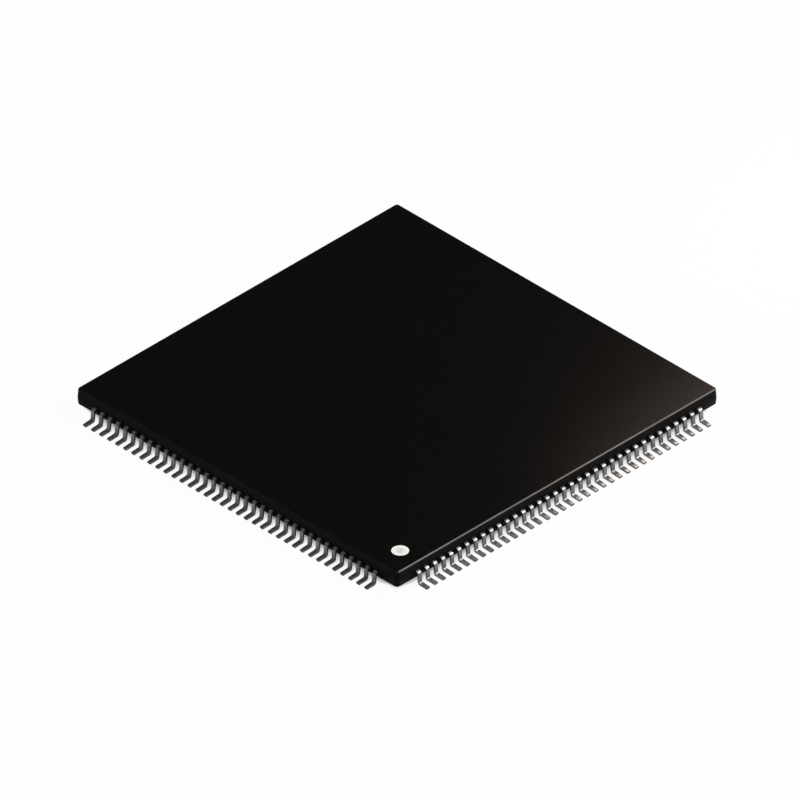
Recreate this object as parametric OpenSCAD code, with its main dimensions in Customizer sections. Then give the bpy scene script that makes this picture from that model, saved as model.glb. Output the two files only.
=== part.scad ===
// Quad flat pack chip: a thin moulded square body with a row of gull-wing leads on each side.
// Frame: origin on the board under the middle of the body, +Z up, marked face up.
// The marked corner is at -X -Y, and the leads count anticlockwise from it as seen from above.

/* [Body] */
// Distance from the last lead's middle line to the corner of the body, level with the leads
corner_margin = 1.25; // [1:0.05:2.5]
// Thickness of the body, from its underside to its marked face
body_t = 0.8; // [0.75:0.05:1.2]
// How far each side wall leans in between the leads and the top or bottom face
draft_inset = 0.03; // [0.01:0.01:0.12]
// Radius of the four upright corners
corner_r = 0.2; // [0.18:0.01:0.5]
// Small bevel round the marked face
edge_bevel = 0.05; // [0.01:0.005:0.08]
// Air between the board and the underside of the body
standoff = 0.32; // [0.1:0.01:0.6]
// Depth of the leads' upper face below the marked face
lead_depth = 0.44; // [0.42:0.01:0.5]

/* [Leads] */
// Leads on each of the four sides
leads_per_side = 36; // [16:4:44]
// Spacing of the leads along a side
lead_pitch = 0.5; // [0.4:0.05:0.65]
// Width of a lead outside the body
lead_w = 0.19; // [0.12:0.01:0.25]
// Thickness of the lead frame sheet
lead_t = 0.1; // [0.08:0.01:0.12]
// How far the toes reach out past the body wall
toe_reach = 0.7; // [0.55:0.05:1.5]
// Straight stretch between the body wall and the first bend
shoulder_l = 0.03; // [0.02:0.01:0.1]
// Inside radius of both bends
bend_r = 0.07; // [0.04:0.01:0.1]
// Steepness of the leg, in degrees from level
leg_angle = 86; // [75:1:90]
// Fall of the foot towards its toe, in degrees
foot_slope = 4; // [0:0.5:7]

/* [Inside the body] */
// Width of a lead where it is locked inside the body
lock_w = 0.22; // [0.18:0.01:0.28]
// Length of the straight locked stretch behind the body wall
lock_l = 0.5; // [0.3:0.05:0.5]
// Width of a lead at its inner tip
tip_w = 0.13; // [0.1:0.01:0.15]
// Spacing of the inner tips along a side
tip_pitch = 0.25; // [0.22:0.01:0.3]
// Gap between the die pad and the inner tips
tip_gap = 0.4; // [0.3:0.05:0.8]
// Distance from the last inner tip's middle line to the corner of the die pad
pad_margin = 0.525; // [0.3:0.025:1]
// How far the die pad lies below the plane of the leads
downset = 0.12; // [0.05:0.01:0.14]
// Width of the tie bars that hold the pad at its corners
tie_w = 0.3; // [0.2:0.05:0.35]
// Resin left between the end of a tie bar and the rounded corner
tie_cover = 0.3; // [0.1:0.05:0.6]
// Distance from the last bond to the corner of the square silicon die
die_margin = 0.425; // [0.2:0.025:1]
// Thickness of the die
die_t = 0.2; // [0.15:0.01:0.22]
// Thickness of the adhesive under the die
attach_t = 0.02; // [0.01:0.005:0.03]
// Rim of adhesive that shows round the die
attach_rim = 0.1; // [0.05:0.05:0.25]

/* [Bond wires] */
// Thickness of a wire
wire_t = 0.025; // [0.02:0.005:0.035]
// Spacing of the bonds along an edge of the die
bond_pitch = 0.19; // [0.15:0.01:0.21]
// Distance of the bonds from the edge of the die
bond_inset = 0.12; // [0.06:0.01:0.2]
// Height of the loop above the die
loop_h = 0.12; // [0.08:0.01:0.14]
// Reach of a wire past the inner tip of its lead
stitch_reach = 0.25; // [0.15:0.05:0.4]

/* [Marks] */
// Diameter of the white dot at the first lead
dot_d = 0.8; // [0.4:0.05:1.6]
// Distance of the dot's centre from the body's -X wall
dot_inset_x = 1.35; // [0.9:0.05:2.5]
// Distance of the dot's centre from the body's -Y wall
dot_inset_y = 1.15; // [0.9:0.05:2.5]
// Thickness of the white ink
ink_t = 0.02; // [0.01:0.005:0.03]
// Depth of the moulded dimple that holds the ink
dimple_depth = 0.03; // [0.03:0.005:0.05]
// Diameter of the ejector marks in the underside
ejector_d = 1.2; // [0.8:0.1:2]
// Depth of the ejector marks
ejector_depth = 0.03; // [0.01:0.005:0.04]
// Distance of the ejector marks' centres from the two nearest walls
ejector_inset = 3; // [1.5:0.25:3.25]

/* [Hidden] */
// Leads are grouped in runs, four runs to a side.
SIDES = 4;
RUNS = 4;
BEND_STEPS = 6;
$fn = 48;

function row(pitch) = (leads_per_side - 1) * pitch;
body_side = row(lead_pitch) + 2 * corner_margin;
pad_side = row(tip_pitch) + 2 * pad_margin;
die_side = row(bond_pitch) + 2 * die_margin;
half = body_side / 2;
body_top = standoff + body_t;
frame_top = body_top - lead_depth;
frame_low = frame_top - lead_t;

// Middle line of a lead: out along the shoulder, over the first bend, down the leg,
// round the second bend and along the foot, until the toe's lower edge meets the board.
mid_r = bend_r + lead_t / 2;
mid_z = frame_low + lead_t / 2;
bend_at = half + shoulder_l;
reach = toe_reach - shoulder_l - sin(foot_slope) * lead_t / 2
    - mid_r * (2 * sin(leg_angle) - sin(foot_slope));
fall = mid_z - cos(foot_slope) * lead_t / 2 - mid_r * (1 + cos(foot_slope) - 2 * cos(leg_angle));
leg_l = (fall * cos(foot_slope) - reach * sin(foot_slope)) / sin(leg_angle - foot_slope);
foot_l = (reach * sin(leg_angle) - fall * cos(leg_angle)) / sin(leg_angle - foot_slope);
shoulder_centre = [bend_at, mid_z - mid_r];
heel_centre = shoulder_centre + 2 * mid_r * [sin(leg_angle), cos(leg_angle)]
    + leg_l * [cos(leg_angle), -sin(leg_angle)];
toe = heel_centre - mid_r * [sin(foot_slope), cos(foot_slope)]
    + foot_l * [cos(foot_slope), -sin(foot_slope)];
across_toe = [sin(foot_slope), cos(foot_slope)] * lead_t / 2;

// Inner ends of the leads, die pad and die
tip_at = pad_side / 2 + tip_gap;
fan_at = half - lock_l;
pad_top = frame_top - downset;
attach_top = pad_top + attach_t;
die_top = attach_top + die_t;
// The tie bars climb back to the plane of the leads outside the pad.
tie_end = (half - corner_r) * sqrt(2) + corner_r - tie_cover;
tie_rise_at = tip_at * sqrt(2);
tie_rise_l = 2 * downset;

function middle(i) = i - (leads_per_side - 1) / 2;
function tip_u(i) = middle(i) * tip_pitch;
function lead_u(i) = middle(i) * lead_pitch;
function blade_u(i, d) = tip_u(i) + (lead_u(i) - tip_u(i)) * (d - tip_at) / (fan_at - tip_at);
function run_of(g) = g % RUNS;
function first_lead(g) = floor(run_of(g) * leads_per_side / RUNS);
function last_lead(g) = floor((run_of(g) + 1) * leads_per_side / RUNS) - 1;
function two_digits(n) = str(n < 10 ? "0" : "", n);

GROUPS = [0 : SIDES * RUNS - 1];
LEAD_NODES = [for (g = GROUPS) str("lead_group_", two_digits(g + 1))];
WIRE_NODES = [for (g = GROUPS) str("wire_group_", two_digits(g + 1))];

// Turns what is drawn facing +X to side 0 (-Y), 1 (+X), 2 (+Y) or 3 (-X).
module on_side(s) {
    rotate([0, 0, 90 * s - 90]) children();
}

// Draws a square centred on the Z axis, from z up.
module square_slab(side, z, t) {
    translate([-side / 2, -side / 2, z]) cube([side, side, t]);
}

// ---- Moulded body ----

// Section of the body's wall: how far out it reaches from a given width, at each height.
function wall(out) = [
    [out - draft_inset, standoff],
    [out, frame_low],
    [out, frame_top],
    [out - draft_inset, body_top - edge_bevel],
    [out - draft_inset - edge_bevel, body_top]
];

module wall_slab() {
    right = wall(half);
    left = [for (i = [len(right) - 1 : -1 : 0]) [-right[i][0], right[i][1]]];
    straight = body_side - 2 * corner_r;
    translate([0, straight / 2, 0]) rotate([90, 0, 0]) linear_extrude(straight) polygon(concat(right, left));
}

module wall_corner() {
    translate([half - corner_r, half - corner_r, 0]) rotate_extrude(angle = 90)
        polygon(concat([[0, standoff]], wall(corner_r), [[0, body_top]]));
}

module moulding() {
    for (a = [0, 90]) rotate([0, 0, a]) wall_slab();
    for (a = [0 : 90 : 270]) rotate([0, 0, a]) wall_corner();
}

module ejector_marks() {
    for (a = [0 : 90 : 270]) rotate([0, 0, a])
        translate([half - ejector_inset, half - ejector_inset, standoff]) cylinder(d = ejector_d, h = ejector_depth);
}

module at_dot(z) {
    translate([dot_inset_x - half, dot_inset_y - half, z]) children();
}

module body() {
    color([0.06, 0.055, 0.05]) difference() {
        moulding();
        pad_frame();
        attach_layer();
        silicon();
        for (g = GROUPS) {
            group_blades(g);
            group_wires(g);
        }
        at_dot(body_top - dimple_depth) cylinder(d = dot_d, h = dimple_depth);
        ejector_marks();
    }
}

module pin_one_dot() {
    color([0.93, 0.93, 0.92]) at_dot(body_top - dimple_depth) cylinder(d = dot_d, h = ink_t);
}

// ---- Lead frame: the pad with its tie bars ----

module tie_bar() {
    pad_low = pad_top - lead_t;
    rotate([90, 0, 0]) translate([0, 0, -tie_w / 2]) linear_extrude(tie_w) polygon([
        [0, pad_low],
        [tie_rise_at, pad_low],
        [tie_rise_at + tie_rise_l, frame_low],
        [tie_end, frame_low],
        [tie_end, frame_top],
        [tie_rise_at + tie_rise_l, frame_top],
        [tie_rise_at, pad_top],
        [0, pad_top]
    ]);
}

module pad_frame() {
    square_slab(pad_side, pad_top - lead_t, lead_t);
    for (a = [45 : 90 : 315]) rotate([0, 0, a]) tie_bar();
}

module die_pad() {
    color([0.72, 0.45, 0.3]) pad_frame();
}

// ---- Die and its adhesive ----

module attach_layer() {
    square_slab(die_side + 2 * attach_rim, pad_top, attach_t);
}

module die_attach() {
    color([0.75, 0.75, 0.72]) attach_layer();
}

module silicon() {
    square_slab(die_side, attach_top, die_t);
}

module die() {
    color([0.35, 0.36, 0.42]) silicon();
}

// ---- Leads ----

// The flat inner part of lead i, seen from above: it fans out from its tip to the body wall.
module blade(i) {
    centres = [[tip_at, tip_u(i)], [fan_at, lead_u(i)], [half - lock_l / 4, lead_u(i)],
        [half - lock_l / 8, lead_u(i)], [bend_at, lead_u(i)]];
    widths = [tip_w, lock_w, lock_w, lead_w, lead_w];
    near = [for (k = [0 : 4]) centres[k] - [0, widths[k] / 2]];
    far = [for (k = [4 : -1 : 0]) centres[k] + [0, widths[k] / 2]];
    translate([0, 0, frame_low]) linear_extrude(lead_t) polygon(concat(near, far));
}

// Points along an arc, from one direction to another.
function arc(centre, r, from, to) = [
    for (k = [0 : BEND_STEPS]) let (a = from + (to - from) * k / BEND_STEPS) centre + r * [cos(a), sin(a)]
];

// Side view of the gull wing: over the shoulder and down to the toe, then back along its underside.
function wing_outline() = concat(
    arc(shoulder_centre, bend_r + lead_t, 90, 90 - leg_angle),
    arc(heel_centre, bend_r, 270 - leg_angle, 270 - foot_slope),
    [toe + across_toe, toe - across_toe],
    arc(heel_centre, bend_r + lead_t, 270 - foot_slope, 270 - leg_angle),
    arc(shoulder_centre, bend_r, 90 - leg_angle, 90)
);

// The part of a lead that is formed outside the body.
module gull_wing() {
    rotate([90, 0, 0]) translate([0, 0, -lead_w / 2]) linear_extrude(lead_w) polygon(wing_outline());
}

module group_blades(g) {
    on_side(floor(g / RUNS)) for (i = [first_lead(g) : last_lead(g)]) blade(i);
}

module lead_group(g) {
    color([0.78, 0.78, 0.78]) {
        group_blades(g);
        on_side(floor(g / RUNS)) for (i = [first_lead(g) : last_lead(g)])
            translate([0, lead_u(i), 0]) gull_wing();
    }
}

// ---- Bond wires ----

// Wire i rises from the die, loops over its edge and lies down on its lead.
module wire(i) {
    from = [die_side / 2 - bond_inset, middle(i) * bond_pitch];
    to = [tip_at + stitch_reach, blade_u(i, tip_at + stitch_reach)];
    run = norm(to - from);
    low = frame_top - die_top;
    translate([from[0], from[1], die_top]) rotate([0, 0, atan2(to[1] - from[1], to[0] - from[0])])
        rotate([90, 0, 0]) translate([0, 0, -wire_t / 2]) linear_extrude(wire_t) polygon([
            [-wire_t / 2, 0],
            [wire_t / 2, 0],
            [wire_t / 2, loop_h / 2],
            [loop_h, loop_h - wire_t],
            [run / 3, loop_h - wire_t],
            [run - 2 * wire_t, low],
            [run + 2 * wire_t, low],
            [run + 2 * wire_t, low + wire_t / 2],
            [run - 2 * wire_t, low + wire_t],
            [run / 3, loop_h],
            [loop_h, loop_h],
            [-wire_t / 2, loop_h / 2]
        ]);
}

module group_wires(g) {
    on_side(floor(g / RUNS)) for (i = [first_lead(g) : last_lead(g)]) wire(i);
}

module wire_group(g) {
    color([0.9, 0.72, 0.3]) group_wires(g);
}

body();
pin_one_dot();
die_pad();
die_attach();
die();
for (g = GROUPS) {
    lead_group(g);
    wire_group(g);
}
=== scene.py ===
"""Quad flat pack chip: a thin moulded square body with a row of gull-wing leads on each side.

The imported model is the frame. This script dresses it: it keeps the moulded body, the pad and the
die, forms the leads and the bond wires again with soft bends and round wire, gives every piece its
finish and sets up a plain studio. All lengths are in metres.
"""

import math

import bmesh
import bpy
from bpy.props import FloatProperty, FloatVectorProperty, IntProperty, PointerProperty
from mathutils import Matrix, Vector


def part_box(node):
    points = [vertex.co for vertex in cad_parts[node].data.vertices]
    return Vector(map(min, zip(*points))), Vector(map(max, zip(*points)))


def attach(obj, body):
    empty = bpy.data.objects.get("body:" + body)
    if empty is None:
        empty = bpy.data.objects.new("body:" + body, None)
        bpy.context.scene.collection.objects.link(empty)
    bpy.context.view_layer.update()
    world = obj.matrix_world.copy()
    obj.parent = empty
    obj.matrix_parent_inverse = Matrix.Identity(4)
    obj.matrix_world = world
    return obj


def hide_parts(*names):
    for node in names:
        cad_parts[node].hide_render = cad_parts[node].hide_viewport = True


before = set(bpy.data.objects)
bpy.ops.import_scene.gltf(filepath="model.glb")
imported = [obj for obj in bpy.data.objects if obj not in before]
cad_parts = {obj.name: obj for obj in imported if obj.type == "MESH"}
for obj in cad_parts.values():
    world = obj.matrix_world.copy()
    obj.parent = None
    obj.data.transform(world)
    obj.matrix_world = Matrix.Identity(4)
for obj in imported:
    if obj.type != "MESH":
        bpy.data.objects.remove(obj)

bl_info = {
    "name": "Quad Flat Pack Chip",
    "version": (1, 0, 0),
    "blender": (4, 5, 0),
    "location": "3D View > Sidebar > Chip",
    "description": "Dresses a quad flat pack chip: body, leads, die, bond wires and studio",
    "category": "Object",
}

ROOT = "root"
SIDES = 4
LEAD_NODES = sorted(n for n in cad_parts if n.startswith("lead_group_"))
WIRE_NODES = sorted(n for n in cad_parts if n.startswith("wire_group_"))
# The fifth group of leads is the first one on the side that faces +X.
FIRST_GROUP_FACING_X = "lead_group_05"

BODY_LOW, BODY_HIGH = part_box("body")
LEADS_LOW, LEADS_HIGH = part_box(FIRST_GROUP_FACING_X)
DIE_LOW, DIE_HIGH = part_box("die")
DOT_LOW, DOT_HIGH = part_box("pin_one_dot")

BODY_HALF = BODY_HIGH.x
TOE_REACH = LEADS_HIGH.x - BODY_HALF
FRAME_TOP = LEADS_HIGH.z
TIP_AT = LEADS_LOW.x
DOT_CENTRE = (DOT_LOW + DOT_HIGH) / 2
# How far a remade piece may stray from the solids that it stands for
FIT = 2e-6
# Half the width over which one finish gives way to another
BLUR = 5e-6
LEAD_SEED = 7
# Edges of a lead that turn by more than this stay sharp
LEAD_EDGE = math.radians(40)
WIRE_FACETS = 6
# Height of a bonded ball as a share of its width
BALL_SQUASH = 0.4

# Size of the grain, lumps, lines and patches in each finish
EROSION_GRAIN = 0.00009
POLISH_CLOUD = 0.0035
FILLER_SPACING = 0.00022
INK_LUMP = 0.00012
TIN_CRYSTAL = 0.00003
TIN_SMEAR = 0.00035
ROLLING_LINE = 0.00004
TARNISH_PATCH = 0.0016
SILVER_FLAKE = 0.00003
GOLD_MARK = 0.00002
PAPER_FIBRE = 0.0008
# Distance of the die's plain seal ring from its edge
SEAL_RING = 0.00023

FLOOR_HALF = 2.0
CAMERA_DISTANCE = 0.1
CAMERA_NEAR = 0.001
CAMERA_FAR = 10.0


# ---- Sizes, colours and studio values that a user may change ----


class ChipSizes(bpy.types.PropertyGroup):
    """Sizes of the body's bevel, the leads and the bond wires."""

    wall_lean: FloatProperty(
        name="Wall lean", description="How far each wall leans in above the leads", default=0.00003, unit="LENGTH",
        precision=6,
    )
    edge_bevel: FloatProperty(
        name="Edge bevel", description="Small bevel round the marked face", default=0.00005, unit="LENGTH",
        precision=6,
    )
    leads_per_side: IntProperty(
        name="Leads per side", description="Leads on each of the four sides", default=36, min=4, max=64
    )
    lead_pitch: FloatProperty(
        name="Lead pitch", description="Spacing of the leads along a side", default=0.0005, unit="LENGTH", precision=6
    )
    lead_width: FloatProperty(
        name="Lead width", description="Width of a lead outside the body", default=0.00019, unit="LENGTH", precision=6
    )
    lead_thickness: FloatProperty(
        name="Lead thickness", description="Thickness of the lead frame sheet", default=0.0001, unit="LENGTH",
        precision=6,
    )
    shoulder_length: FloatProperty(
        name="Shoulder", description="Straight stretch between the body wall and the first bend", default=0.00003,
        unit="LENGTH", precision=6,
    )
    bend_radius: FloatProperty(
        name="Bend radius", description="Inside radius of both bends", default=0.00007, unit="LENGTH", precision=6
    )
    leg_angle: FloatProperty(
        name="Leg angle", description="Steepness of the leg from level", default=math.radians(86), subtype="ANGLE"
    )
    foot_slope: FloatProperty(
        name="Foot slope", description="Fall of the foot towards its toe", default=math.radians(4), subtype="ANGLE"
    )
    bend_steps: IntProperty(
        name="Bend steps", description="Straight facets in each bend", default=4, min=2, max=12
    )
    lock_width: FloatProperty(
        name="Locked width", description="Width of a lead where the resin locks it", default=0.00022, unit="LENGTH",
        precision=6,
    )
    lock_length: FloatProperty(
        name="Locked length", description="Length of the straight locked stretch behind the wall", default=0.0005,
        unit="LENGTH", precision=6,
    )
    tip_width: FloatProperty(
        name="Tip width", description="Width of a lead at its inner tip", default=0.00013, unit="LENGTH", precision=6
    )
    tip_pitch: FloatProperty(
        name="Tip pitch", description="Spacing of the inner tips along a side", default=0.00025, unit="LENGTH",
        precision=6,
    )
    wire_diameter: FloatProperty(
        name="Wire diameter", description="Diameter of a bond wire", default=0.000025, unit="LENGTH", precision=6
    )
    ball_diameter: FloatProperty(
        name="Ball diameter", description="Diameter of the ball that joins a wire to the die", default=0.00006,
        unit="LENGTH", precision=6,
    )
    bond_pitch: FloatProperty(
        name="Bond pitch", description="Spacing of the bonds along an edge of the die", default=0.00019,
        unit="LENGTH", precision=6,
    )
    bond_inset: FloatProperty(
        name="Bond inset", description="Distance of the bonds from the edge of the die", default=0.00012,
        unit="LENGTH", precision=6,
    )
    loop_height: FloatProperty(
        name="Loop height", description="Height of the wire loop above the die", default=0.00012, unit="LENGTH",
        precision=6,
    )
    stitch_reach: FloatProperty(
        name="Stitch reach", description="Reach of a wire past the inner tip of its lead", default=0.00025,
        unit="LENGTH", precision=6,
    )


def colour_property(name, description, default):
    return FloatVectorProperty(name=name, description=description, default=default, subtype="COLOR", size=3,
                               min=0.0, max=1.0)


def place_property(name, description, default):
    return FloatVectorProperty(name=name, description=description, default=default, subtype="TRANSLATION", size=3,
                               unit="LENGTH", precision=6)


class ChipFinishes(bpy.types.PropertyGroup):
    """Colours of the finishes, as linear light."""

    compound: colour_property("Moulding compound", "Black epoxy of the body", (0.0015, 0.0014, 0.0011))
    compound_pale: colour_property("Filler", "Paler grains of filler in the compound", (0.0045, 0.0042, 0.0036))
    gloss: colour_property("Compound gloss", "Tint of what the compound mirrors", (1.0, 0.78, 0.70))
    ink: colour_property("Dot ink", "White ink of the dot", (0.97, 0.965, 0.95))
    ink_grey_middle: colour_property("Ink middle", "Greyer ink towards the middle of the dot", (0.50, 0.50, 0.50))
    tin: colour_property("Tin plating", "Plating on the leads", (0.34, 0.336, 0.332))
    tin_dull: colour_property("Dull tin", "Plating where it has dulled", (0.17, 0.168, 0.166))
    copper: colour_property("Copper", "Bare copper of the lead frame", (0.72, 0.36, 0.20))
    cut_end: colour_property("Cut end", "Bare metal where the toes were cut", (0.11, 0.106, 0.103))
    copper_dark: colour_property("Tarnished copper", "Copper where it has tarnished", (0.42, 0.19, 0.11))
    adhesive: colour_property("Die adhesive", "Silver-filled paste under the die", (0.55, 0.54, 0.52))
    silicon: colour_property("Silicon", "Polished face of the die", (0.16, 0.17, 0.21))
    circuit: colour_property("Circuit", "Blocks of circuit on the die", (0.33, 0.25, 0.30))
    gold: colour_property("Gold", "Bond wire", (0.94, 0.68, 0.26))
    floor: colour_property("Floor", "Pale paper under the chip", (0.62, 0.62, 0.62))


class ChipStudio(bpy.types.PropertyGroup):
    """Light and camera."""

    key_strength: FloatProperty(name="Key light", description="Soft light from the right", default=2.5, min=0.0)
    key_from: place_property("Key light from", "Where the key light shines from", (0.062, -0.042, 0.066))
    key_colour: colour_property("Key colour", "Colour of the key light", (1.0, 0.985, 0.96))
    key_spread: FloatProperty(
        name="Key spread", description="Width of the soft light as seen from the chip", default=math.radians(45),
        subtype="ANGLE",
    )
    top_strength: FloatProperty(name="Top light", description="Wide soft light from above", default=1.15, min=0.0)
    top_from: place_property("Top light from", "Where the top light shines from", (-0.01, -0.035, 0.093))
    top_spread: FloatProperty(
        name="Top spread", description="Width of the top light as seen from the chip", default=math.radians(80),
        subtype="ANGLE",
    )
    glow_power: FloatProperty(
        name="Warm panel", description="Warm panel that the marked face mirrors along one edge", default=0.0034,
        min=0.0, unit="POWER", precision=6,
    )
    glow_at: place_property("Warm panel place", "Where the warm panel stands", (0.0240, 0.0008, 0.0151))
    glow_towards: place_property("Warm panel aim", "What the warm panel faces", (0.0270, -0.011, 0.001))
    glow_length: FloatProperty(
        name="Warm panel length", description="Length of the warm panel", default=0.026, unit="LENGTH", precision=6
    )
    glow_width: FloatProperty(
        name="Warm panel width", description="Width of the warm panel", default=0.003, unit="LENGTH", precision=6
    )
    glow_colour: colour_property("Warm panel colour", "Colour of the warm panel", (1.0, 0.86, 0.79))
    room_strength: FloatProperty(
        name="Room light", description="Even light of the room", default=0.07, min=0.0, max=1.0
    )
    seen_lift: FloatProperty(
        name="Backdrop as seen", description="Share of plain white in the floor as the camera sees it", default=0.96,
        min=0.0, max=1.0, subtype="FACTOR",
    )
    shade_reach: FloatProperty(
        name="Shade reach", description="How near the chip must be for the floor to keep its full shade",
        default=0.001, unit="LENGTH", precision=6,
    )
    mirrored_lift: FloatProperty(
        name="Backdrop as mirrored", description="Share of plain white in the floor as metal mirrors it",
        default=0.15, min=0.0, max=1.0, subtype="FACTOR",
    )
    view_width: FloatProperty(
        name="View width", description="Width of the camera's view", default=0.0352, unit="LENGTH"
    )
    view_turn: FloatProperty(
        name="View turn", description="Turn of the camera from looking along +Y", default=math.radians(-45),
        subtype="ANGLE",
    )
    view_height: FloatProperty(
        name="View height", description="Height of the camera above the horizon", default=math.atan(math.sqrt(0.5)),
        subtype="ANGLE",
    )
    aim_right: FloatProperty(
        name="Aim right", description="Shift of the aim to the right in the view", default=0.00013, unit="LENGTH",
        precision=6,
    )
    aim_down: FloatProperty(
        name="Aim down", description="Shift of the aim down in the view", default=0.00053, unit="LENGTH",
        precision=6,
    )


# ---- Helpers for node trees and meshes ----


class Graph:
    """Adds nodes to a tree and joins them."""

    def __init__(self, tree):
        self.tree = tree

    def add(self, kind, inputs=None, **settings):
        """A new node. inputs gives a value, or the socket to join, for sockets by name or number."""
        node = self.tree.nodes.new(kind)
        for key, value in settings.items():
            setattr(node, key, value)
        for key, value in (inputs or {}).items():
            self.feed(node.inputs[key], value)
        return node

    def feed(self, socket, value):
        if isinstance(value, bpy.types.NodeSocket):
            self.tree.links.new(value, socket)
        else:
            socket.default_value = value

    def math(self, operation, a, b=0.0, clamp=False):
        return self.add("ShaderNodeMath", {0: a, 1: b}, operation=operation, use_clamp=clamp).outputs[0]

    def ramp(self, value, low, high, to_low=0.0, to_high=1.0):
        """Maps value from low..high to to_low..to_high, and holds it there."""
        return self.add("ShaderNodeMapRange", {"Value": value, "From Min": low, "From Max": high,
                                               "To Min": to_low, "To Max": to_high}).outputs["Result"]

    def blend(self, factor, a, b):
        """A colour between a and b."""
        node = self.add("ShaderNodeMix", {0: factor}, data_type="RGBA")
        for socket, value in ((node.inputs[6], a), (node.inputs[7], b)):
            self.feed(socket, value if isinstance(value, bpy.types.NodeSocket) else (*value, 1.0))
        return node.outputs[2]

    def noise(self, spot, grain, detail=2.0, roughness=0.5):
        """Noise whose lumps are about grain metres across."""
        return self.add("ShaderNodeTexNoise", {"Vector": spot, "Scale": 1.0 / grain, "Detail": detail,
                                               "Roughness": roughness}).outputs["Fac"]


def new_finish(name):
    """A material with one Principled shader: its graph, the shader and the object coordinates."""
    finish = bpy.data.materials.new(name)
    finish.use_nodes = True
    finish.node_tree.nodes.clear()
    graph = Graph(finish.node_tree)
    shader = graph.add("ShaderNodeBsdfPrincipled")
    graph.add("ShaderNodeOutputMaterial", {"Surface": shader.outputs["BSDF"]})
    spot = graph.add("ShaderNodeTexCoord").outputs["Object"]
    return finish, graph, shader, spot


def relief(graph, shader, height, depth):
    """Gives the shader a bump of the given depth in metres."""
    bump = graph.add("ShaderNodeBump", {"Height": height, "Distance": depth, "Strength": 1.0})
    graph.feed(shader.inputs["Normal"], bump.outputs["Normal"])


def off_centre(graph, spot):
    """How far out a point lies towards the nearest side of a square on the origin, and its height."""
    across = graph.add("ShaderNodeSeparateXYZ", {0: spot}).outputs
    out = graph.math("MAXIMUM", graph.math("ABSOLUTE", across["X"]), graph.math("ABSOLUTE", across["Y"]))
    return out, across["Z"]


def node_tree(name, sockets):
    """A Geometry Nodes tree with a geometry input, the named inputs given and a geometry output."""
    tree = bpy.data.node_groups.new(name, "GeometryNodeTree")
    tree.is_modifier = True
    tree.interface.new_socket("Geometry", in_out="INPUT", socket_type="NodeSocketGeometry")
    for label, kind in sockets:
        tree.interface.new_socket(label, in_out="INPUT", socket_type=kind)
    tree.interface.new_socket("Geometry", in_out="OUTPUT", socket_type="NodeSocketGeometry")
    graph = Graph(tree)
    return tree, graph, graph.add("NodeGroupInput").outputs


def grow(name, seed_mesh, tree, values):
    """Runs a tree on a seed mesh and returns the result as a plain piece."""
    seed = bpy.data.objects.new(name + "_seed", seed_mesh)
    bpy.context.scene.collection.objects.link(seed)
    modifier = seed.modifiers.new(name, "NODES")
    modifier.node_group = tree
    for item in tree.interface.items_tree:
        if item.item_type == "SOCKET" and item.in_out == "INPUT" and item.name in values:
            modifier[item.identifier] = values[item.name]
    depsgraph = bpy.context.evaluated_depsgraph_get()
    mesh = bpy.data.meshes.new_from_object(seed.evaluated_get(depsgraph), depsgraph=depsgraph)
    seed.modifiers.clear()
    bpy.data.objects.remove(seed)
    bpy.data.meshes.remove(seed_mesh)
    if not mesh.polygons:
        raise RuntimeError(f"{name} came out empty")
    mesh.name = name
    piece = bpy.data.objects.new(name, mesh)
    bpy.context.scene.collection.objects.link(piece)
    return piece


def rows(graph, count, pitch):
    """A row of points along Y, centred on the X axis."""
    length = graph.math("MULTIPLY", graph.math("SUBTRACT", count, 1.0), pitch)
    start = graph.add("ShaderNodeCombineXYZ", {"Y": graph.math("MULTIPLY", length, -0.5)})
    step = graph.add("ShaderNodeCombineXYZ", {"Y": pitch})
    return graph.add("GeometryNodeMeshLine", {"Count": count, "Start Location": start.outputs[0],
                                              "Offset": step.outputs[0]}, mode="OFFSET").outputs["Mesh"]


def keep(graph, geometry, value):
    """Carries a number along with the points: returns the geometry and the carried number."""
    node = graph.add("GeometryNodeCaptureAttribute", domain="POINT")
    node.capture_items.new("FLOAT", "Value")
    graph.feed(node.inputs["Geometry"], geometry)
    graph.feed(node.inputs[1], value)
    return node.outputs["Geometry"], node.outputs[1]


def on_four_sides(graph, geometry):
    """Repeats what faces +X on all four sides."""
    points = graph.add("GeometryNodePoints", {"Count": SIDES}).outputs["Points"]
    turn = graph.math("MULTIPLY", graph.add("GeometryNodeInputIndex").outputs[0], math.tau / SIDES)
    rotation = graph.add("FunctionNodeEulerToRotation",
                         {0: graph.add("ShaderNodeCombineXYZ", {"Z": turn}).outputs[0]}).outputs[0]
    sides = graph.add("GeometryNodeInstanceOnPoints", {"Points": points, "Instance": geometry,
                                                       "Rotation": rotation}).outputs["Instances"]
    return graph.add("GeometryNodeRealizeInstances", {"Geometry": sides}).outputs["Geometry"]


def finish_tree(graph, geometry, material):
    """Ends a tree: real geometry with its material."""
    solid = graph.add("GeometryNodeRealizeInstances", {"Geometry": geometry}).outputs["Geometry"]
    painted = graph.add("GeometryNodeSetMaterial", {"Geometry": solid, "Material": material})
    graph.add("NodeGroupOutput", {"Geometry": painted.outputs["Geometry"]})


def check_fit(piece, nodes):
    """Stops the script if a remade piece doesn't fill the same box as the solids it stands for."""
    corners = [Vector(v.co) for v in piece.data.vertices]
    for axis in range(3):
        made = min(c[axis] for c in corners), max(c[axis] for c in corners)
        asked = min(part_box(n)[0][axis] for n in nodes), max(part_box(n)[1][axis] for n in nodes)
        if abs(made[0] - asked[0]) > FIT or abs(made[1] - asked[1]) > FIT:
            raise RuntimeError(f"{piece.name} spans {made} on axis {axis}, but its solids span {asked}")


def dress(node, finish):
    """Gives a solid that stays its finish."""
    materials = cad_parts[node].data.materials
    materials.clear()
    materials.append(finish)


# ---- Finishes ----


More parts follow.
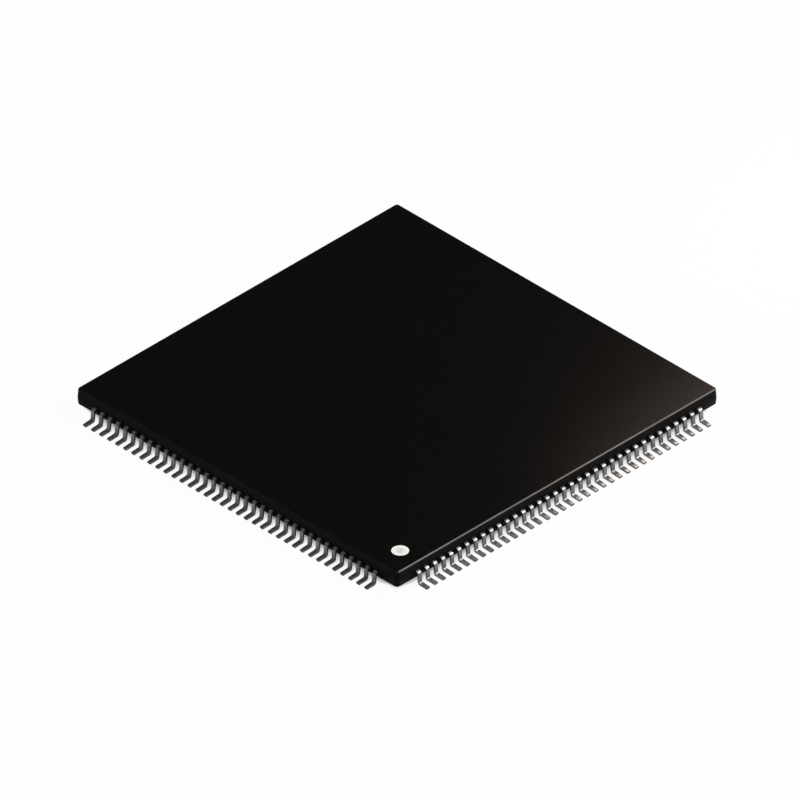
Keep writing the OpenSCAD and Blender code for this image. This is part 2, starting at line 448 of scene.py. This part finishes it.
def compound_finish(colours, sizes):
    """Black moulding compound: a fine spark-eroded skin with pale specks of filler and a burnished edge."""
    finish, graph, shader, spot = new_finish("mould_compound")
    grain = graph.noise(spot, EROSION_GRAIN, detail=3.0, roughness=0.62)
    cloud = graph.noise(spot, POLISH_CLOUD)
    speck = graph.add("ShaderNodeTexVoronoi", {"Vector": spot, "Scale": 1.0 / FILLER_SPACING}).outputs["Distance"]
    filler = graph.ramp(speck, 0.10, 0.22, 0.55, 0.0)
    mottle = graph.math("MULTIPLY", graph.ramp(grain, 0.42, 0.68), 0.35)
    pale = graph.math("MAXIMUM", filler, mottle)
    graph.feed(shader.inputs["Base Color"], graph.blend(pale, colours.compound, colours.compound_pale))
    rough = graph.math("ADD", graph.ramp(cloud, 0.3, 0.7, 0.28, 0.32), graph.ramp(grain, 0.3, 0.7, 0.0, 0.05))
    out, height = off_centre(graph, spot)
    bevel_at = BODY_HALF - sizes.wall_lean - sizes.edge_bevel
    bevel_foot = BODY_HIGH.z - sizes.edge_bevel
    beyond = graph.ramp(out, bevel_at - BLUR, bevel_at + BLUR)
    above = graph.ramp(height, bevel_foot - BLUR, bevel_foot + BLUR)
    worn = graph.math("MULTIPLY", graph.math("MULTIPLY", beyond, above), graph.ramp(cloud, 0.3, 0.6, 0.6, 1.0))
    smoother = graph.math("MULTIPLY", rough, graph.ramp(worn, 0.0, 1.0, 1.0, 0.52))
    graph.feed(shader.inputs["Roughness"], smoother)
    graph.feed(shader.inputs["Coat Weight"], graph.ramp(worn, 0.0, 1.0, 0.0, 0.8))
    shader.inputs["Coat Roughness"].default_value = 0.28
    shader.inputs["IOR"].default_value = 1.5
    shader.inputs["Specular IOR Level"].default_value = 0.07
    shader.inputs["Specular Tint"].default_value = (*colours.gloss, 1.0)
    relief(graph, shader, grain, 4e-6)
    return finish


def ink_finish(colours):
    """White ink, greyer towards the middle of the dot and in lumps."""
    finish, graph, shader, spot = new_finish("dot_ink")
    radius = (DOT_HIGH.x - DOT_LOW.x) / 2
    centred = graph.add("ShaderNodeMapping", {"Vector": spot, "Location": -DOT_CENTRE}, vector_type="POINT")
    distance = graph.add("ShaderNodeVectorMath", {0: centred.outputs[0]}, operation="LENGTH").outputs["Value"]
    lumps = graph.noise(spot, INK_LUMP, detail=3.0, roughness=0.6)
    # The ink colour is blended towards grey near the middle of the dot and in random lumps.
    middle = graph.ramp(distance, radius * 0.15, radius * 0.70, 0.60, 0.0)
    greyer = graph.math("ADD", middle, graph.ramp(lumps, 0.45, 0.75, 0.0, 0.35), clamp=True)
    graph.feed(shader.inputs["Base Color"], graph.blend(greyer, colours.ink, colours.ink_grey_middle))
    graph.feed(shader.inputs["Roughness"], graph.ramp(lumps, 0.3, 0.7, 0.48, 0.62))
    relief(graph, shader, lumps, 3e-6)
    return finish


def tin_finish(colours):
    """Matt tin plating, a little different on each lead, and dark bare metal where the toe was cut."""
    finish, graph, shader, spot = new_finish("tinned_leads")
    tone = graph.add("ShaderNodeAttribute", attribute_name="lead_tone").outputs["Fac"]
    cut = graph.add("ShaderNodeAttribute", attribute_name="cut_end").outputs["Fac"]
    crystals = graph.noise(spot, TIN_CRYSTAL, detail=3.0, roughness=0.6)
    smears = graph.noise(spot, TIN_SMEAR)
    dull = graph.math("ADD", graph.ramp(smears, 0.40, 0.72, 0.0, 0.6), graph.math("MULTIPLY", tone, 0.35), clamp=True)
    plated = graph.blend(dull, colours.tin, colours.tin_dull)
    bare = graph.math("MULTIPLY", cut, graph.ramp(crystals, 0.35, 0.55, 0.4, 0.9))
    graph.feed(shader.inputs["Base Color"], graph.blend(bare, plated, colours.cut_end))
    shader.inputs["Metallic"].default_value = 1.0
    rough = graph.math("ADD", graph.ramp(crystals, 0.3, 0.7, 0.30, 0.40), graph.math("MULTIPLY", dull, 0.08))
    graph.feed(shader.inputs["Roughness"], rough)
    relief(graph, shader, crystals, 1.2e-6)
    return finish


def copper_finish(colours):
    """Rolled copper of the pad and its tie bars: fine rolling lines and patches of tarnish."""
    finish, graph, shader, spot = new_finish("bare_copper")
    drawn = graph.add("ShaderNodeMapping", {"Vector": spot, "Scale": (0.06, 1.0, 1.0)}).outputs[0]
    lines = graph.noise(drawn, ROLLING_LINE, detail=3.0)
    patches = graph.noise(spot, TARNISH_PATCH, detail=4.0, roughness=0.6)
    tarnish = graph.math("MAXIMUM", graph.ramp(patches, 0.45, 0.70, 0.0, 0.8), graph.ramp(lines, 0.5, 0.8, 0.0, 0.4))
    graph.feed(shader.inputs["Base Color"], graph.blend(tarnish, colours.copper, colours.copper_dark))
    shader.inputs["Metallic"].default_value = 1.0
    graph.feed(shader.inputs["Roughness"], graph.ramp(lines, 0.3, 0.7, 0.26, 0.42))
    relief(graph, shader, lines, 1.5e-6)
    return finish


def adhesive_finish(colours):
    """Silver-filled paste: dull metal flakes in resin."""
    finish, graph, shader, spot = new_finish("die_adhesive")
    flakes = graph.add("ShaderNodeTexVoronoi", {"Vector": spot, "Scale": 1.0 / SILVER_FLAKE}).outputs["Color"]
    flake = graph.add("ShaderNodeSeparateColor", {"Color": flakes}).outputs["Red"]
    dark = tuple(c * 0.5 for c in colours.adhesive)
    graph.feed(shader.inputs["Base Color"], graph.blend(flake, dark, colours.adhesive))
    shader.inputs["Metallic"].default_value = 0.6
    graph.feed(shader.inputs["Roughness"], graph.ramp(flake, 0.0, 1.0, 0.4, 0.7))
    relief(graph, shader, flake, 2e-6)
    return finish


def silicon_finish(colours):
    """Polished silicon: blocks of circuit, fine lines in each block and a plain seal ring at the edge."""
    finish, graph, shader, spot = new_finish("silicon")
    blocks = graph.add("ShaderNodeTexBrick", {
        "Vector": spot, "Color1": (0.2, 0.2, 0.2, 1.0), "Color2": (0.9, 0.9, 0.9, 1.0), "Mortar": (0.0, 0.0, 0.0, 1.0),
        "Scale": 1.0, "Mortar Size": 0.00003, "Mortar Smooth": 0.1, "Brick Width": 0.0011, "Row Height": 0.0008,
    }, offset=0.35, squash=1.6, squash_frequency=3)
    lines = graph.add("ShaderNodeTexBrick", {
        "Vector": spot, "Color1": (0.5, 0.5, 0.5, 1.0), "Color2": (1.0, 1.0, 1.0, 1.0), "Mortar": (0.2, 0.2, 0.2, 1.0),
        "Scale": 1.0, "Mortar Size": 0.000004, "Mortar Smooth": 0.1, "Brick Width": 0.00012, "Row Height": 0.00003,
    })
    ring_at = DIE_HIGH.x - SEAL_RING
    inside = graph.ramp(off_centre(graph, spot)[0], ring_at - 2 * BLUR, ring_at + 2 * BLUR, 1.0, 0.0)
    drawn = graph.math("MULTIPLY", blocks.outputs["Color"], lines.outputs["Color"])
    shade = graph.math("MULTIPLY", drawn, inside)
    graph.feed(shader.inputs["Base Color"], graph.blend(shade, colours.silicon, colours.circuit))
    shader.inputs["Metallic"].default_value = 0.85
    graph.feed(shader.inputs["Roughness"], graph.ramp(shade, 0.0, 1.0, 0.12, 0.30))
    return finish


def gold_finish(colours):
    """Drawn gold wire."""
    finish, graph, shader, spot = new_finish("gold_wire")
    drawn = graph.noise(spot, GOLD_MARK)
    graph.feed(shader.inputs["Base Color"],
               graph.blend(graph.ramp(drawn, 0.4, 0.7), colours.gold, tuple(c * 0.8 for c in colours.gold)))
    shader.inputs["Metallic"].default_value = 1.0
    graph.feed(shader.inputs["Roughness"], graph.ramp(drawn, 0.3, 0.7, 0.14, 0.26))
    return finish


# ---- Leads ----


def arc(centre, radius, start, end, steps):
    """Places and directions along an arc in the plane of a lead's side view."""
    for k in range(steps + 1):
        angle = start + (end - start) * k / steps
        outward = Vector((math.cos(angle), math.sin(angle)))
        yield centre + radius * outward, outward


def lead_stations(sizes):
    """Sections of one lead from its inner tip to its toe: middle, direction of its upper face and width."""
    thick, level = sizes.lead_thickness, Vector((0.0, 1.0))
    mid_z = FRAME_TOP - thick / 2
    mid_r = sizes.bend_radius + thick / 2
    leg, slope = sizes.leg_angle, sizes.foot_slope
    bend_at = BODY_HALF + sizes.shoulder_length
    reach = (TOE_REACH - sizes.shoulder_length - math.sin(slope) * thick / 2
             - mid_r * (2 * math.sin(leg) - math.sin(slope)))
    fall = mid_z - math.cos(slope) * thick / 2 - mid_r * (1 + math.cos(slope) - 2 * math.cos(leg))
    leg_length = (fall * math.cos(slope) - reach * math.sin(slope)) / math.sin(leg - slope)
    foot_length = (reach * math.sin(leg) - fall * math.cos(leg)) / math.sin(leg - slope)
    shoulder = Vector((bend_at, mid_z - mid_r))
    heel = (shoulder + 2 * mid_r * Vector((math.sin(leg), math.cos(leg)))
            + leg_length * Vector((math.cos(leg), -math.sin(leg))))
    toe = (heel - mid_r * Vector((math.sin(slope), math.cos(slope)))
           + foot_length * Vector((math.cos(slope), -math.sin(slope))))
    quarter = math.radians(90)
    stations = [
        (Vector((TIP_AT, mid_z)), level, sizes.tip_width),
        (Vector((BODY_HALF - sizes.lock_length, mid_z)), level, sizes.lock_width),
        (Vector((BODY_HALF - sizes.lock_length / 4, mid_z)), level, sizes.lock_width),
        (Vector((BODY_HALF - sizes.lock_length / 8, mid_z)), level, sizes.lead_width),
    ]
    for place, outward in arc(shoulder, mid_r, quarter, quarter - leg, sizes.bend_steps):
        stations.append((place, outward, sizes.lead_width))
    for place, outward in arc(heel, mid_r, 3 * quarter - leg, 3 * quarter - slope, sizes.bend_steps):
        stations.append((place, -outward, sizes.lead_width))
    stations.append((toe, Vector((math.sin(slope), math.cos(slope))), sizes.lead_width))
    return stations


def lead_mesh(sizes):
    """One lead, facing +X in the middle of its row: a flat strip bent over the shoulder and the heel."""
    shape = bmesh.new()
    cut_end = shape.faces.layers.float.new("cut_end")
    rings = []
    for place, up, width in lead_stations(sizes):
        half = up * sizes.lead_thickness / 2
        rings.append([shape.verts.new((p.x, side * width / 2, p.y))
                      for p, side in ((place + half, 1), (place + half, -1), (place - half, -1), (place - half, 1))])
    for near, far in zip(rings, rings[1:]):
        for k in range(4):
            shape.faces.new((near[k], near[k - 1], far[k - 1], far[k]))
    for end in (rings[0], rings[-1]):
        shape.faces.new(end)[cut_end] = 1.0
    bmesh.ops.recalc_face_normals(shape, faces=shape.faces)
    for face in shape.faces:
        face.smooth = True
    mesh = bpy.data.meshes.new("lead")
    shape.to_mesh(mesh)
    shape.free()
    return mesh


def lead_rows_tree():
    """Repeats one lead along a row, fans its inner part in towards the die and fills the four sides."""
    tree, graph, given = node_tree("Gull-wing lead rows", (
        ("Leads per side", "NodeSocketInt"), ("Lead pitch", "NodeSocketFloat"), ("Tip pitch", "NodeSocketFloat"),
        ("Tip distance", "NodeSocketFloat"), ("Fan distance", "NodeSocketFloat"), ("Seed", "NodeSocketInt"),
        ("Plating", "NodeSocketMaterial"),
    ))
    row = rows(graph, given["Leads per side"], given["Lead pitch"])
    across = graph.add("ShaderNodeSeparateXYZ", {0: graph.add("GeometryNodeInputPosition").outputs[0]}).outputs
    row, place = keep(graph, row, across["Y"])
    leads = graph.add("GeometryNodeInstanceOnPoints", {"Points": row, "Instance": given["Geometry"]})
    leads = graph.add("GeometryNodeRealizeInstances", {"Geometry": leads.outputs["Instances"]}).outputs["Geometry"]
    # The tips stand closer together than the leads, and each lead runs straight from tip to wall.
    closer = graph.math("SUBTRACT", graph.math("DIVIDE", given["Tip pitch"], given["Lead pitch"]), 1.0)
    inward = graph.ramp(across["X"], given["Tip distance"], given["Fan distance"], 1.0, 0.0)
    shift = graph.math("MULTIPLY", graph.math("MULTIPLY", place, closer), inward)
    leads = graph.add("GeometryNodeSetPosition", {
        "Geometry": leads, "Offset": graph.add("ShaderNodeCombineXYZ", {"Y": shift}).outputs[0]}).outputs["Geometry"]
    leads = on_four_sides(graph, leads)
    island = graph.add("GeometryNodeInputMeshIsland").outputs["Island Index"]
    tone = graph.add("FunctionNodeRandomValue", {"ID": island, "Seed": given["Seed"]}, data_type="FLOAT").outputs[1]
    leads = graph.add("GeometryNodeStoreNamedAttribute", {"Geometry": leads, "Name": "lead_tone", "Value": tone},
                      data_type="FLOAT", domain="POINT").outputs["Geometry"]
    finish_tree(graph, leads, given["Plating"])
    return tree


# ---- Bond wires ----


def wire_path(sizes):
    """A bond wire's middle line: X is the share of the way from ball to stitch, Z the real height."""
    radius = sizes.wire_diameter / 2
    top = DIE_HIGH.z + sizes.loop_height - radius
    lead = FRAME_TOP + radius
    heights = (
        (0.0, DIE_HIGH.z), (0.0, DIE_HIGH.z + sizes.loop_height / 2), (0.008, top - sizes.loop_height * 0.25),
        (0.022, top - sizes.loop_height * 0.10), (0.045, top), (0.33, top), (0.50, top - (top - lead) * 0.28),
        (0.80, top - (top - lead) * 0.80), (0.93, lead), (1.0, lead),
    )
    mesh = bpy.data.meshes.new("wire_path")
    mesh.from_pydata([(x, 0.0, z) for x, z in heights], [(k, k + 1) for k in range(len(heights) - 1)], [])
    return mesh


def bond_wires_tree():
    """Draws a round wire along a path from each bond on the die to its lead, with a ball at its start."""
    tree, graph, given = node_tree("Bond wires", (
        ("Leads per side", "NodeSocketInt"), ("Bond pitch", "NodeSocketFloat"), ("Stitch pitch", "NodeSocketFloat"),
        ("Bond distance", "NodeSocketFloat"), ("Stitch distance", "NodeSocketFloat"), ("Die top", "NodeSocketFloat"),
        ("Wire radius", "NodeSocketFloat"), ("Ball radius", "NodeSocketFloat"), ("Gold", "NodeSocketMaterial"),
    ))
    row = rows(graph, given["Leads per side"], given["Bond pitch"])
    across = graph.add("ShaderNodeSeparateXYZ", {0: graph.add("GeometryNodeInputPosition").outputs[0]}).outputs
    row, place = keep(graph, row, across["Y"])
    paths = graph.add("GeometryNodeInstanceOnPoints", {"Points": row, "Instance": given["Geometry"]})
    paths = graph.add("GeometryNodeRealizeInstances", {"Geometry": paths.outputs["Instances"]}).outputs["Geometry"]
    # X still holds the share of the way, so it becomes the way itself and the wire swings over to its lead.
    ratio = graph.math("DIVIDE", given["Stitch pitch"], given["Bond pitch"])
    reach = graph.math("SUBTRACT", given["Stitch distance"], given["Bond distance"])
    out = graph.math("ADD", given["Bond distance"], graph.math("MULTIPLY", across["X"], reach))
    swing = graph.math("MULTIPLY", graph.math("MULTIPLY", place, graph.math("SUBTRACT", ratio, 1.0)), across["X"])
    aside = graph.math("ADD", place, swing)
    spot = graph.add("ShaderNodeCombineXYZ", {"X": out, "Y": aside, "Z": across["Z"]}).outputs[0]
    paths = graph.add("GeometryNodeSetPosition", {"Geometry": paths, "Position": spot}).outputs["Geometry"]
    curve = graph.add("GeometryNodeMeshToCurve", {"Mesh": paths}).outputs["Curve"]
    section = graph.add("GeometryNodeCurvePrimitiveCircle", {"Resolution": WIRE_FACETS, "Radius": given["Wire radius"]})
    drawn = graph.add("GeometryNodeCurveToMesh", {"Curve": curve, "Profile Curve": section.outputs["Curve"],
                                                  "Fill Caps": True}).outputs["Mesh"]
    ball = graph.add("GeometryNodeMeshUVSphere", {"Segments": 8, "Rings": 4, "Radius": given["Ball radius"]})
    ball_z = graph.math("ADD", given["Die top"], graph.math("MULTIPLY", given["Ball radius"], BALL_SQUASH))
    lift = graph.add("ShaderNodeCombineXYZ", {"X": given["Bond distance"], "Z": ball_z})
    ball = graph.add("GeometryNodeTransform", {"Geometry": ball.outputs["Mesh"], "Translation": lift.outputs[0],
                                               "Scale": (1.0, 1.0, BALL_SQUASH)}).outputs["Geometry"]
    balls = graph.add("GeometryNodeInstanceOnPoints", {"Points": row, "Instance": ball}).outputs["Instances"]
    both = graph.add("GeometryNodeJoinGeometry")
    graph.feed(both.inputs[0], balls)
    graph.feed(both.inputs[0], drawn)
    smooth = graph.add("GeometryNodeSetShadeSmooth", {"Geometry": on_four_sides(graph, both.outputs[0])})
    finish_tree(graph, smooth.outputs["Geometry"], given["Gold"])
    return tree


# ---- Studio ----


def seen_and_mirrored(graph):
    """Whether the camera sees a surface itself, and whether metal or glass shows it."""
    ray = graph.add("ShaderNodeLightPath").outputs
    return ray["Is Camera Ray"], graph.math("MAXIMUM", ray["Is Glossy Ray"], ray["Is Transmission Ray"])


def backdrop_share(graph, studio):
    """Share of plain white: the camera sees most of it, metal and glass mirror less."""
    seen, mirrored = seen_and_mirrored(graph)
    return graph.math("MAXIMUM", graph.math("MULTIPLY", seen, studio.seen_lift),
                      graph.math("MULTIPLY", mirrored, studio.mirrored_lift))


def floor_finish(colours, studio):
    """Pale paper: plain white is added where it is seen as the backdrop, but not close under the chip."""
    finish = bpy.data.materials.new("floor_paper")
    finish.use_nodes = True
    finish.node_tree.nodes.clear()
    graph = Graph(finish.node_tree)
    spot = graph.add("ShaderNodeTexCoord").outputs["Object"]
    fibre = graph.ramp(graph.noise(spot, PAPER_FIBRE, detail=3.0), 0.3, 0.7, 0.98, 1.0)
    tint = graph.blend(fibre, tuple(c * 0.97 for c in colours.floor), colours.floor)
    paper = graph.add("ShaderNodeBsdfDiffuse", {"Color": tint}).outputs["BSDF"]
    white = graph.add("ShaderNodeEmission", {"Color": (1.0, 1.0, 1.0, 1.0), "Strength": 1.0}).outputs["Emission"]
    near = graph.add("ShaderNodeAmbientOcclusion", {"Distance": studio.shade_reach}, samples=16).outputs["AO"]
    share = graph.math("MULTIPLY", backdrop_share(graph, studio), graph.ramp(near, 0.12, 0.27))
    mixed = graph.add("ShaderNodeMixShader", {0: share, 1: paper, 2: white})
    graph.add("ShaderNodeOutputMaterial", {"Surface": mixed.outputs[0]})
    return finish


def set_room(studio):
    """An even dim room that the camera sees as plain white."""
    world = bpy.data.worlds.new("room")
    world.use_nodes = True
    world.node_tree.nodes.clear()
    graph = Graph(world.node_tree)
    seen, mirrored = seen_and_mirrored(graph)
    lit = graph.math("MAXIMUM", graph.math("MULTIPLY", mirrored, studio.mirrored_lift), studio.room_strength)
    strength = graph.math("MAXIMUM", seen, lit)
    back = graph.add("ShaderNodeBackground", {"Color": (1.0, 1.0, 1.0, 1.0), "Strength": strength})
    graph.add("ShaderNodeOutputWorld", {"Surface": back.outputs[0]})
    bpy.context.scene.world = world


def aim(lamp, at, target):
    """Stands a lamp or the camera at a place, facing a target."""
    lamp.location = at
    lamp.rotation_mode = "QUATERNION"
    lamp.rotation_quaternion = (Vector(target) - Vector(at)).to_track_quat("-Z", "Y")


def add_lamp(name, kind, at, target, **settings):
    light = bpy.data.lights.new(name, kind)
    for key, value in settings.items():
        setattr(light, key, value)
    lamp = bpy.data.objects.new(name, light)
    bpy.context.scene.collection.objects.link(lamp)
    lamp.visible_camera = False
    aim(lamp, at, target)


# ---- Operators ----


class CHIP_OT_moulded_body(bpy.types.Operator):
    """Finish the moulded body in black compound"""

    bl_idname = "chip.moulded_body"
    bl_label = "Moulded Body"

    def execute(self, context):
        dress("body", compound_finish(context.scene.chip_finishes, context.scene.chip_sizes))
        return {"FINISHED"}


class CHIP_OT_pin_one_dot(bpy.types.Operator):
    """Ink the dot at the first lead"""

    bl_idname = "chip.pin_one_dot"
    bl_label = "Pin One Dot"

    def execute(self, context):
        dress("pin_one_dot", ink_finish(context.scene.chip_finishes))
        return {"FINISHED"}


class CHIP_OT_pad_and_die(bpy.types.Operator):
    """Finish the copper pad, the adhesive and the silicon die"""

    bl_idname = "chip.pad_and_die"
    bl_label = "Pad and Die"

    def execute(self, context):
        colours = context.scene.chip_finishes
        dress("die_pad", copper_finish(colours))
        dress("die_attach", adhesive_finish(colours))
        dress("die", silicon_finish(colours))
        return {"FINISHED"}


class CHIP_OT_lead_rows(bpy.types.Operator):
    """Form the rows of gull-wing leads with their inner ends"""

    bl_idname = "chip.lead_rows"
    bl_label = "Lead Rows"

    def execute(self, context):
        sizes = context.scene.chip_sizes
        leads = grow("lead_rows", lead_mesh(sizes), lead_rows_tree(), {
            "Leads per side": sizes.leads_per_side, "Lead pitch": sizes.lead_pitch, "Tip pitch": sizes.tip_pitch,
            "Tip distance": TIP_AT, "Fan distance": BODY_HALF - sizes.lock_length, "Seed": LEAD_SEED,
            "Plating": tin_finish(context.scene.chip_finishes),
        })
        leads.data.set_sharp_from_angle(angle=LEAD_EDGE)
        check_fit(leads, LEAD_NODES)
        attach(leads, ROOT)
        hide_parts(*LEAD_NODES)
        return {"FINISHED"}


class CHIP_OT_bond_wires(bpy.types.Operator):
    """Draw the round gold wires from the die to the leads"""

    bl_idname = "chip.bond_wires"
    bl_label = "Bond Wires"

    def execute(self, context):
        sizes = context.scene.chip_sizes
        stitch_at = TIP_AT + sizes.stitch_reach
        fan_at = BODY_HALF - sizes.lock_length
        stitch_pitch = sizes.tip_pitch + (sizes.lead_pitch - sizes.tip_pitch) * sizes.stitch_reach / (fan_at - TIP_AT)
        wires = grow("bond_wires", wire_path(sizes), bond_wires_tree(), {
            "Leads per side": sizes.leads_per_side, "Bond pitch": sizes.bond_pitch, "Stitch pitch": stitch_pitch,
            "Bond distance": DIE_HIGH.x - sizes.bond_inset, "Stitch distance": stitch_at, "Die top": DIE_HIGH.z,
            "Wire radius": sizes.wire_diameter / 2, "Ball radius": sizes.ball_diameter / 2,
            "Gold": gold_finish(context.scene.chip_finishes),
        })
        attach(wires, ROOT)
        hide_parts(*WIRE_NODES)
        return {"FINISHED"}


class CHIP_OT_studio(bpy.types.Operator):
    """Set the floor, the light and the camera"""

    bl_idname = "chip.studio"
    bl_label = "Studio"

    def execute(self, context):
        scene = context.scene
        studio = scene.chip_studio
        origin = (0.0, 0.0, 0.0)
        mesh = bpy.data.meshes.new("floor")
        corners = ((-1, -1), (1, -1), (1, 1), (-1, 1))
        mesh.from_pydata([(x * FLOOR_HALF, y * FLOOR_HALF, 0.0) for x, y in corners], [], [(0, 1, 2, 3)])
        floor = bpy.data.objects.new("floor", mesh)
        scene.collection.objects.link(floor)
        mesh.materials.append(floor_finish(scene.chip_finishes, studio))
        set_room(studio)

        add_lamp("key_light", "SUN", studio.key_from, origin, energy=studio.key_strength,
                 angle=studio.key_spread, color=studio.key_colour)
        add_lamp("top_light", "SUN", studio.top_from, origin, energy=studio.top_strength, angle=studio.top_spread)
        add_lamp("warm_panel", "AREA", studio.glow_at, studio.glow_towards, energy=studio.glow_power,
                 shape="RECTANGLE", size=studio.glow_length, size_y=studio.glow_width, color=studio.glow_colour)

        lens = bpy.data.cameras.new("camera")
        lens.type = "ORTHO"
        lens.ortho_scale = studio.view_width
        camera = bpy.data.objects.new("camera", lens)
        scene.collection.objects.link(camera)
        turn, height = studio.view_turn, studio.view_height
        back = Vector((math.sin(turn) * math.cos(height), -math.cos(turn) * math.cos(height), math.sin(height)))
        right = Vector((math.cos(turn), math.sin(turn), 0.0))
        up = back.cross(right)
        target = Vector((0.0, 0.0, BODY_HIGH.z)) + right * studio.aim_right - up * studio.aim_down
        aim(camera, target + back * CAMERA_DISTANCE, target)
        lens.clip_start, lens.clip_end = CAMERA_NEAR, CAMERA_FAR
        scene.camera = camera
        scene.view_settings.view_transform = "Standard"
        return {"FINISHED"}


OPERATORS = (CHIP_OT_moulded_body, CHIP_OT_pin_one_dot, CHIP_OT_pad_and_die, CHIP_OT_lead_rows,
             CHIP_OT_bond_wires, CHIP_OT_studio)


class CHIP_PT_panel(bpy.types.Panel):
    """Lists the steps that dress the chip"""

    bl_idname = "CHIP_PT_panel"
    bl_label = "Quad Flat Pack Chip"
    bl_space_type = "VIEW_3D"
    bl_region_type = "UI"
    bl_category = "Chip"

    def draw(self, context):
        for operator in OPERATORS:
            self.layout.operator(operator.bl_idname)


CLASSES = (ChipSizes, ChipFinishes, ChipStudio, *OPERATORS, CHIP_PT_panel)


def register():
    for cls in CLASSES:
        bpy.utils.register_class(cls)
    bpy.types.Scene.chip_sizes = PointerProperty(type=ChipSizes)
    bpy.types.Scene.chip_finishes = PointerProperty(type=ChipFinishes)
    bpy.types.Scene.chip_studio = PointerProperty(type=ChipStudio)


def unregister():
    del bpy.types.Scene.chip_studio
    del bpy.types.Scene.chip_finishes
    del bpy.types.Scene.chip_sizes
    for cls in reversed(CLASSES):
        bpy.utils.unregister_class(cls)


def main():
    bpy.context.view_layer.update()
    register()
    bpy.ops.chip.moulded_body()
    bpy.ops.chip.pin_one_dot()
    bpy.ops.chip.pad_and_die()
    bpy.ops.chip.lead_rows()
    bpy.ops.chip.bond_wires()
    bpy.ops.chip.studio()


if __name__ == "__main__":
    main()
